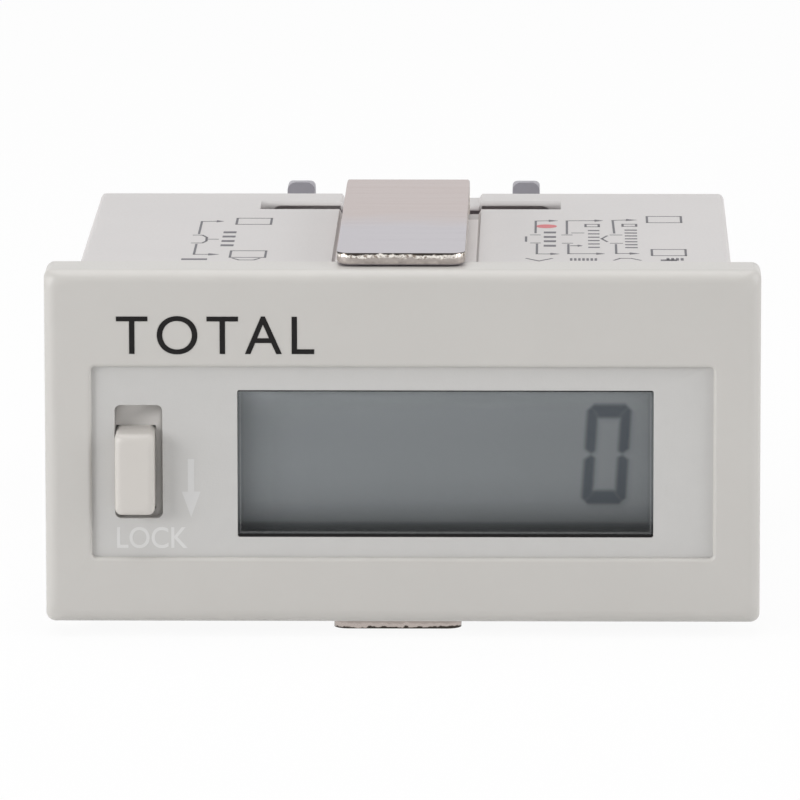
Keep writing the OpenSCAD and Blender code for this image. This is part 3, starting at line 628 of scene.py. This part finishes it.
legendInk = printInk("legendInk", (0.012, 0.011, 0.011), 0.50, 0.12)
arrowInk = printInk("arrowInk", (0.640, 0.635, 0.630), 0.55)
lockInk = printInk("lockInk", (0.680, 0.675, 0.668), 0.55)
wiringInk = printInk("wiringInk", (0.095, 0.092, 0.105), 0.5)
redInk = printInk("redInk", (0.56, 0.14, 0.15), 0.5)
print("finishes made")


# pieces that stand for CAD solids
def keepPiece(name, bm, node, finish, body=None):
    mesh = bpy.data.meshes.new(name)
    bm.to_mesh(mesh)
    bm.free()
    mesh.shade_smooth()
    mesh.materials.append(finish)
    piece = bpy.data.objects.new(name, mesh)
    scene.collection.objects.link(piece)
    piece.modifiers.new("flats", "WEIGHTED_NORMAL").keep_sharp = True
    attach(piece, body or nodeBody[node])
    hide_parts(node)
    print(name, len(mesh.polygons), "faces")
    return piece


meshCare = {"merge": 0.002 * mm, "flatAngle": math.radians(0.2), "sharpAngle": math.radians(35)}


def solidCopy(node):
    bm = bmesh.new()
    bm.from_mesh(nodes[node].data)
    bmesh.ops.remove_doubles(bm, verts=bm.verts[:], dist=meshCare["merge"])
    bmesh.ops.dissolve_limit(bm, angle_limit=meshCare["flatAngle"], verts=bm.verts[:], edges=bm.edges[:])
    return bm


def breakEdges(bm, radius, test, steps=2):
    sharp = [e for e in bm.edges if e.is_manifold and e.calc_face_angle() > meshCare["sharpAngle"]
             and all(test(p.co) for p in e.verts)]
    bmesh.ops.bevel(bm, geom=sharp, offset=radius, offset_type="OFFSET", segments=steps,
                    profile=0.5, affect="EDGES", clamp_overlap=True, loop_slide=True)


def keepBehind(node, depth, widest):
    # what the CAD solid has behind a depth, less anything wider than the limit
    bm = solidCopy(node)
    geometry = bm.verts[:] + bm.edges[:] + bm.faces[:]
    bmesh.ops.bisect_plane(bm, geom=geometry, plane_co=(0, depth, 0), plane_no=(0, 1, 0), clear_inner=True)
    bmesh.ops.holes_fill(bm, edges=[e for e in bm.edges if e.is_boundary])
    left = set(bm.verts)
    while left:
        island, todo = set(), [next(iter(left))]
        while todo:
            vert = todo.pop()
            if vert not in island:
                island.add(vert)
                todo += [e.other_vert(vert) for e in vert.link_edges]
        left -= island
        across = [vert.co.x for vert in island]
        if max(across) - min(across) > widest:
            bmesh.ops.delete(bm, geom=list(island), context="VERTS")
    return bm


def ring(half, radius, depth, centre=(0.0, 0.0), steps=8):
    # upright rectangle with round corners
    points = []
    for quarter, (sideX, sideZ) in enumerate(((1, 1), (-1, 1), (-1, -1), (1, -1))):
        for i in range(steps + 1):
            turn = math.radians(90) * (quarter + i / steps)
            points.append((centre[0] + sideX * (half[0] - radius) + radius * math.cos(turn), depth,
                           centre[1] + sideZ * (half[1] - radius) + radius * math.sin(turn)))
    return points


def loft(bm, rings, closed=False):
    rows = [[bm.verts.new(p) for p in points] for points in rings]
    for row, after in zip(rows, rows[1:] + rows[:1] if closed else rows[1:]):
        for i, vert in enumerate(row):
            j = (i + 1) % len(row)
            bm.faces.new((vert, row[j], after[j], after[i]))
    if not closed:
        bm.faces.new(rows[0])
        bm.faces.new(rows[-1])
    bmesh.ops.recalc_face_normals(bm, faces=bm.faces[:])


def inset(half, by):
    return half[0] - by, half[1] - by


def halfSize(box):
    return (box[1].x - box[0].x) / 2, (box[1].z - box[0].z) / 2


def middle(box):
    return (box[1].x + box[0].x) / 2, (box[1].z + box[0].z) / 2


def frontEdge(half, radius, corner, front, centre=(0.0, 0.0), steps=8):
    # rings of a round front edge, from the side to the front face; the corners open up towards the front
    rings = []
    for i in range(steps + 1):
        turn = math.radians(90) * i / steps
        by = radius * (1 - math.cos(turn))
        blend = corner[0] + (corner[1] - corner[0]) * i / steps
        rings.append(ring(inset(half, by), blend, front + radius * (1 - math.sin(turn)), centre))
    return rings


bezelForm = {
    "edge": 0.9 * mm, "corner": (0.60 * mm, 0.85 * mm), "rearBreak": 0.06 * mm,
    "rim": 0.28 * mm, "rimCorner": 0.25 * mm, "rimSteps": 6, "overlap": 0.01 * mm,
    "ledge": 0.65 * mm, "ledgeBack": -1.5 * mm, "tight": 0.05 * mm, "inner": (20.9 * mm, 9.5 * mm),
    "case": (22.25 * mm, 10.85 * mm), "caseCorner": 0.5 * mm, "rebate": -0.6 * mm,
    "fittings": -1.48 * mm, "widest": 30 * mm,  # the fittings behind the ledge stay as they are in the solid
}


def buildBezel(v):
    box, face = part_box("front_bezel"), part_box("face_plate")
    half, front, tight = halfSize(box), box[0].y, v["tight"]
    sunk, place = inset(halfSize(face), v["overlap"]), middle(face)
    rings = [ring(inset(half, v["rearBreak"]), v["corner"][0], 0.0), ring(half, v["corner"][0], -v["rearBreak"])]
    rings += frontEdge(half, v["edge"], v["corner"], front)
    for i in range(v["rimSteps"] + 1):
        turn = math.radians(90) * i / v["rimSteps"]
        by = -v["rim"] * (1 - math.sin(turn))
        rings.append(ring(inset(sunk, by), v["rimCorner"] - by, front + v["rim"] * (1 - math.cos(turn)), place))
    throat = inset(sunk, v["ledge"])
    rings += [ring(sunk, v["rimCorner"], face[1].y, place), ring(throat, tight, face[1].y, place),
              ring(throat, tight, v["ledgeBack"], place), ring(v["inner"], tight, v["ledgeBack"]),
              ring(v["inner"], tight, v["rebate"]), ring(v["case"], v["caseCorner"], v["rebate"]),
              ring(v["case"], v["caseCorner"], 0.0)]
    fittings = keepBehind("front_bezel", v["fittings"], v["widest"])
    spare = bpy.data.meshes.new("bezelFittings")
    fittings.to_mesh(spare)
    fittings.free()
    bm = bmesh.new()
    loft(bm, rings, closed=True)
    bm.from_mesh(spare)
    bpy.data.meshes.remove(spare)
    keepPiece("bezelShell", bm, "front_bezel", bezelPlastic)


keyForm = {
    "half": (1.325 * mm, 2.85 * mm), "corner": (0.42 * mm, 0.55 * mm), "edge": 0.50 * mm,
    "root": -1.6 * mm, "sunk": 0.05 * mm, "widest": 30 * mm,
    "slope": 0.19 * mm,  # fall of the upper side from the slider to the front
}


def buildKey(v):
    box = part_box("reset_key")
    bm = keepBehind("reset_key", v["root"], v["widest"])
    place, start = middle(box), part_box("lock_slider")[0].y
    loft(bm, [ring(v["half"], v["corner"][0], depth, place) for depth in (v["root"] + v["sunk"], start)]
         + frontEdge(v["half"], v["edge"], v["corner"], box[0].y, place))
    for vert in bm.verts:
        if vert.co.y < start and vert.co.z > place[1]:
            vert.co.z -= v["slope"] * (start - vert.co.y) / (start - box[0].y)
    keepPiece("keyCap", bm, "reset_key", keyPlastic)


paneForm = {"corner": (0.15 * mm, 0.18 * mm), "edge": 0.05 * mm, "edgeSteps": 5}


def buildPane(v):
    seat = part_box("face_plate")[1].y
    half = (opening["right"] - opening["left"]) / 2, (opening["top"] - opening["bottom"]) / 2
    place = (opening["right"] + opening["left"]) / 2, (opening["top"] + opening["bottom"]) / 2
    lip, lipPlace = halfSize(windowBox), middle(windowBox)
    bm = bmesh.new()
    loft(bm, [ring(lip, v["corner"][0], windowBox[1].y, lipPlace), ring(lip, v["corner"][0], seat, lipPlace),
              ring(half, v["corner"][0], seat, place)]
         + frontEdge(half, v["edge"], v["corner"], windowBox[0].y, place, v["edgeSteps"]))
    keepPiece("windowGlass", bm, "display_window", windowPane)


sliderForm = {"reach": 0.12 * mm, "close": 0.045 * mm}


def buildSlider(v):
    # its front hole is drawn in until it meets the key
    bm = solidCopy("lock_slider")
    place = middle(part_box("reset_key"))
    wide, tall = keyForm["half"]
    for vert in bm.verts:
        dx, dz = vert.co.x - place[0], vert.co.z - place[1]
        if abs(abs(dx) - wide) < v["reach"] and abs(abs(dz) - tall) < v["reach"]:
            vert.co.x -= math.copysign(v["close"], dx)
            vert.co.z -= math.copysign(v["close"], dz)
    keepPiece("lockPlate", bm, "lock_slider", sliderPlastic)


def buildSpring():
    # stands on the slider
    bm = solidCopy("key_spring")
    piece = keepPiece("keySpring", bm, "key_spring", springSteel, "lock_slider")
    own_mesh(piece)


clipForm = {
    "rolled": (0.38 * mm, 4), "heel": (0.20 * mm, 3), "burr": (0.04 * mm, 1),  # radius and steps
    "plate": 12.05 * mm, "near": 0.01 * mm, "bend": 30.65 * mm, "bendReach": 0.5 * mm,
}


def buildClip(node, name, v):
    # punched from below: the inner edges are rolled, the outer ones nearly sharp
    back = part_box(node)[1].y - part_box("upper_clip")[1].y
    bend = v["bend"] + back
    rules = {
        "rolled": lambda p: abs(abs(p.z) - v["plate"]) < v["near"] and p.y < bend,
        "heel": lambda p: p.y > bend and abs(p.z) > v["plate"] - v["bendReach"],
        "burr": lambda p: True,
    }
    bm = solidCopy(node)
    for edge, test in rules.items():
        radius, steps = v[edge]
        breakEdges(bm, radius, test, steps)
    keepPiece(name, bm, node, clipSteel)


softForms = {  # piece, finish, slot, edge radius
    "rear_case": ("caseShell", casePlastic, "case_plastic", 0.08 * mm),
    "terminal_block": ("terminalBlock", blockPlastic, "block_plastic", 0.10 * mm),
}


def buildSoft(node, name, finish, radius):
    bm = solidCopy(node)
    breakEdges(bm, radius, lambda p: True)
    keepPiece(name, bm, node, finish)


faceForm = {"break": 0.06 * mm, "border": 0.5 * mm, "cut": 0.35 * mm, "fit": 0.01 * mm, "near": 0.2 * mm}


def buildFace(v):
    # the outer edge stays sharp, because the bezel's recess meets it
    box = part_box("face_plate")
    half, place = inset(halfSize(box), v["border"]), middle(box)
    bm = solidCopy("face_plate")
    cut, near = Vector((v["cut"], 0, v["cut"])), v["near"]
    low, high = windowBox[0] + cut, windowBox[1] - cut
    moves = {"x": ((low.x, opening["left"] - v["fit"]), (high.x, opening["right"] + v["fit"])),
             "z": ((low.z, opening["bottom"] - v["fit"]), (high.z, opening["top"] + v["fit"]))}
    for vert in bm.verts:
        if low.x - near < vert.co.x < high.x + near and low.z - near < vert.co.z < high.z + near:
            for axis, sides in moves.items():
                for old, new in sides:
                    at = getattr(vert.co, axis)
                    if abs(at - old) < near:
                        setattr(vert.co, axis, at + new - old)
                        break
    breakEdges(bm, v["break"], lambda p: abs(p.x - place[0]) < half[0] and abs(p.z - place[1]) < half[1])
    keepPiece("sunkFace", bm, "face_plate", facePlastic)


buildBezel(bezelForm)
buildKey(keyForm)
buildPane(paneForm)
buildSlider(sliderForm)
buildSpring()
buildClip("upper_clip", "upperClip", clipForm)
buildClip("lower_clip", "lowerClip", clipForm)
buildFace(faceForm)
for node, (name, finish, slotName, radius) in softForms.items():
    buildSoft(node, name, finish, radius)

innerPlastics = {  # colour, roughness, nodes
    "rearGlass": ((0.33, 0.37, 0.34), (0.10, 0.16), ["lcd_rear_glass"]),
    "reflectorFilm": ((0.60, 0.62, 0.58), (0.30, 0.42), ["lcd_reflector"]),
    "holderPlastic": ((0.76, 0.76, 0.73), (0.45, 0.60), ["lcd_holder"]),
    "stripRubber": ((0.66, 0.35, 0.33), (0.65, 0.80), ["upper_contact_strip", "lower_contact_strip"]),
    "puckRubber": ((0.020, 0.020, 0.022), (0.60, 0.75), ["contact_puck"]),
    "boardLaminate": ((0.016, 0.115, 0.036), (0.25, 0.40), ["circuit_board", "input_board"]),
    "chipResin": ((0.012, 0.012, 0.014), (0.30, 0.50), ["counter_chip", "chip_resistors", "input_coupler"]),
    "firedCeramic": ((0.34, 0.21, 0.11), (0.35, 0.50), ["chip_capacitors"]),
    "cellSleeve": ((0.035, 0.105, 0.34), (0.22, 0.34), ["battery_cell"]),
    "capacitorSleeve": ((0.010, 0.014, 0.035), (0.22, 0.34), ["input_capacitor"]),
}
innerSkin = {"grainScale": 5000.0, "cloudScale": 300.0, "grainDepth": 0.003 * mm, "gloss": 0.4}
darkShare = 0.88  # of the colour, in the clouds
tinnedMetal = drawnMetal("tinnedMetal", {
    "light": (0.66, 0.66, 0.64), "dark": (0.54, 0.54, 0.53), "stretch": (1.0, 0.1, 1.0), "scale": 2600.0,
    "roughness": (0.28, 0.42), "markDepth": 0.003 * mm,
})


def dress(members, finish):
    for node in members:
        nodes[node].data.materials.clear()
        nodes[node].data.materials.append(finish)


for name, (colour, roughness, members) in innerPlastics.items():
    dark = [c * darkShare for c in colour]
    dress(members, mouldedPlastic(name, {"light": colour, "dark": dark, "roughness": roughness, **innerSkin}))
dress(["terminal_screws", "clamp_washers", "board_screws"], screwSteel)
dress(["terminal_plates"], terminalBrass)
dress(["quartz_crystal", "battery_tabs", "link_pins"], tinnedMetal)
dress(["lcd_front_glass"], lcdPicture)
print("solids dressed")


# print on the front and on top of the case
def printPiece(name, mesh, finish, body="case"):
    for face in mesh.polygons:
        face.use_smooth = False
    mesh.materials.clear()
    mesh.materials.append(finish)
    piece = bpy.data.objects.new(name, mesh)
    scene.collection.objects.link(piece)
    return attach(piece, body)


frontTurn = Matrix.Rotation(math.radians(90), 4, "X")  # drawn flat, then stood up to face the front


def printWord(name, word, v):
    curve = bpy.data.curves.new(name, "FONT")
    curve.body = word
    curve.space_character = v["spacing"]
    curve.offset = v["weight"]
    curve.extrude = 0.5  # brought down to the ink's thickness below
    drawn = bpy.data.objects.new(name + "Drawn", curve)
    scene.collection.objects.link(drawn)
    bpy.context.view_layer.update()
    depsgraph = bpy.context.evaluated_depsgraph_get()
    mesh = bpy.data.meshes.new_from_object(drawn.evaluated_get(depsgraph))
    bpy.data.objects.remove(drawn)
    low = Vector([min(p.co[i] for p in mesh.vertices) for i in range(3)])
    high = Vector([max(p.co[i] for p in mesh.vertices) for i in range(3)])
    size = v["height"] / (high.y - low.y)
    wide = v["width"] / (high.x - low.x) if "width" in v else size
    mesh.transform(Matrix.Translation(-low))
    mesh.transform(Matrix.Diagonal((wide, size, v["thickness"] / (high.z - low.z), 1.0)))
    mesh.transform(Matrix.Translation((v["left"], v["front"], v["low"])) @ frontTurn)
    return printPiece(name, mesh, v["ink"])


def flatShapes(name, outlines, thickness):
    # closed outlines in the flat, each pushed up by the thickness of the ink
    bm = bmesh.new()
    for outline in outlines:
        face = bm.faces.new([bm.verts.new((x, y, 0.0)) for x, y in outline])
        pushed = bmesh.ops.extrude_face_region(bm, geom=[face])["geom"]
        top = [g for g in pushed if isinstance(g, bmesh.types.BMVert)]
        bmesh.ops.translate(bm, vec=(0, 0, thickness), verts=top)
    bmesh.ops.recalc_face_normals(bm, faces=bm.faces[:])
    mesh = bpy.data.meshes.new(name)
    bm.to_mesh(mesh)
    bm.free()
    return mesh


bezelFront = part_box("front_bezel")[0].y
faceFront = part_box("face_plate")[0].y
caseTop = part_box("rear_case")[1].z
inkThickness = 0.012 * mm

legend = {
    "left": -19.15 * mm, "low": 6.32 * mm, "height": 2.60 * mm, "spacing": 1.205, "weight": 0.0,
    "thickness": 2 * inkThickness, "front": bezelFront, "ink": legendInk,
}
lockWord = {
    "left": -19.18 * mm, "low": -6.95 * mm, "height": 1.45 * mm, "width": 4.74 * mm, "spacing": 1.0,
    "weight": 0.008, "thickness": inkThickness, "front": faceFront, "ink": lockInk,
}
printWord("legendWord", "TOTAL", legend)
printWord("lockLegend", "LOCK", lockWord)

lockArrow = {
    "x": -14.19 * mm, "top": -0.86 * mm, "neck": -3.09 * mm, "tip": -4.83 * mm,
    "shaft": 0.43 * mm, "head": 1.25 * mm,
}


def drawArrow(v):
    shaft, head = v["shaft"] / 2, v["head"] / 2
    outline = [(-shaft, v["top"]), (-shaft, v["neck"]), (-head, v["neck"]), (0, v["tip"]),
               (head, v["neck"]), (shaft, v["neck"]), (shaft, v["top"])]
    mesh = flatShapes("lockArrow", [outline], inkThickness)
    mesh.transform(Matrix.Translation((v["x"], faceFront, 0)) @ frontTurn)
    printPiece("lockArrow", mesh, arrowInk)


drawArrow(lockArrow)


wiring = {  # millimetres on top of the case: right, back
    "stroke": 0.16, "arrow": 0.9,
    "widths": {"Bars": 0.75, "Rungs": 0.40, "Rules": 0.6, "Dashes": 1.0},
    "leftWires": [((-14.48, 19.6), (-14.48, 25.2), (-13.45, 25.3), (-12.94, 25.3)),
                  ((-14.48, 15.0), (-14.48, 10.5), (-13.5, 10.5), (-12.76, 10.5))],
    "leftPlain": [((-14.80, 19.0), (-14.2, 19.0), (-13.88, 18.0), (-13.85, 16.4), (-14.1, 15.5), (-14.8, 15.5)),
                  ((-13.8, 17.2), (-13.1, 17.2)), ((-11.75, 8.8), (-11.33, 8.1), (-10.31, 8.1), (-9.95, 8.8))],
    "leftBars": [(-12.8, -11.9, y) for y in (20.3, 18.4, 16.4, 14.5)],
    "leftRules": [(-15.26, -13.5, 8.4)],
    "leftBoxes": [(-12.03, 23.9, -9.63, 26.7), (-11.98, 9.2, -9.58, 12.1)],
    "rightWires": [((8.85, 20.2), (8.85, 25.6), (9.75, 25.7), (10.40, 25.7)),
                   ((8.96, 15.3), (8.96, 10.9), (9.88, 10.9), (10.51, 10.9)),
                   ((11.02, 19.8), (11.02, 25.7), (12.95, 25.8), (13.55, 25.8)),
                   ((11.12, 15.1), (11.12, 11.0), (13.02, 11.0), (13.62, 11.0)),
                   ((14.30, 20.1), (14.22, 25.9), (15.15, 26.1), (15.91, 26.1)),
                   ((14.39, 15.1), (14.39, 11.1), (15.30, 11.1), (15.98, 11.1)),
                   ((11.32, 14.5), (11.55, 14.5), (11.75, 14.5), (12.10, 14.5))],
    "rightPlain": [((8.55, 19.3), (9.12, 19.3)), ((8.58, 15.7), (9.15, 15.7)), ((8.2, 18.5), (8.2, 16.4)),
                   ((10.72, 19.3), (11.33, 19.3)), ((10.75, 15.6), (11.36, 15.6)), ((11.4, 20.2), (12.15, 20.2)),
                   ((14.05, 19.3), (14.78, 19.3)), ((14.06, 15.6), (14.80, 15.6)),
                   ((13.79, 18.9), (13.42, 17.6), (13.79, 16.3)), ((8.28, 8.9), (9.12, 7.8), (9.98, 8.9)),
                   ((14.25, 8.2), (14.65, 9.0), (15.40, 9.0), (16.02, 8.2))],
    "rightBars": [(9.42, 10.27, y) for y in (20.4, 18.4, 16.5, 14.5)],
    "rightRungs": [(12.48, 13.28, y) for y in (21.3, 19.8, 18.3, 16.8, 15.3, 13.8)]
    + [(15.02, 15.88, y) for y in (21.5, 20.2, 18.9, 17.6, 16.3, 15.0, 13.7)],
    "rightRules": [(17.4, 18.5, 8.2)],
    "rightDashes": [(11.22 + 0.28 * i, 11.39 + 0.28 * i, 8.5) for i in range(7)]
    + [(17.80 + 0.32 * i, 18.00 + 0.32 * i, 8.6) for i in range(4)],
    "rightBoxes": [(16.62, 24.9, 19.0, 27.75), (16.83, 10.2, 19.14, 12.9), (12.32, 23.0, 13.24, 24.1),
                   (14.9, 23.2, 15.85, 24.2)],
    "redMark": (9.6, 23.2, 0.73, 0.80), "redSides": 28,
}


def strokeOutlines(path, width):
    outlines = []
    for (ax, ay), (bx, by) in zip(path, path[1:]):
        length = math.hypot(bx - ax, by - ay)
        ux, uy = (bx - ax) / length * width / 2, (by - ay) / length * width / 2
        outlines.append([(ax - ux - uy, ay - uy + ux), (ax - ux + uy, ay - uy - ux),
                         (bx + ux + uy, by + uy - ux), (bx + ux - uy, by + uy + ux)])
    return outlines


def arrowOutline(neck, tip, width):
    return [tip, (neck[0], neck[1] + width / 2), (neck[0], neck[1] - width / 2)]


def barOutline(x0, x1, y, width):
    return [(x0, y - width / 2), (x1, y - width / 2), (x1, y + width / 2), (x0, y + width / 2)]


def boxPath(x0, y0, x1, y1):
    return [(x0, y0), (x1, y0), (x1, y1), (x0, y1), (x0, y0)]


def layOnCase(name, outlines, finish):
    mesh = flatShapes(name, [[(x * mm, y * mm) for x, y in o] for o in outlines], inkThickness)
    mesh.transform(Matrix.Translation((0, 0, caseTop)))
    printPiece(name, mesh, finish)


def drawWiring(v):
    for side, name in (("left", "wiringLeft"), ("right", "wiringRight")):
        outlines = []
        for path in v[side + "Wires"]:
            outlines += strokeOutlines(path[:-1], v["stroke"]) + [arrowOutline(path[-2], path[-1], v["arrow"])]
        for path in v[side + "Plain"] + [boxPath(*box) for box in v[side + "Boxes"]]:
            outlines += strokeOutlines(path, v["stroke"])
        for kind, width in v["widths"].items():
            outlines += [barOutline(*bar, width) for bar in v.get(side + kind, ())]
        layOnCase(name, outlines, wiringInk)

    x, y, halfX, halfY = v["redMark"]
    steps = [2 * math.pi * i / v["redSides"] for i in range(v["redSides"])]
    layOnCase("wiringMark", [[(x + halfX * math.cos(a), y + halfY * math.sin(a)) for a in steps]], redInk)


drawWiring(wiring)
print("print laid on")
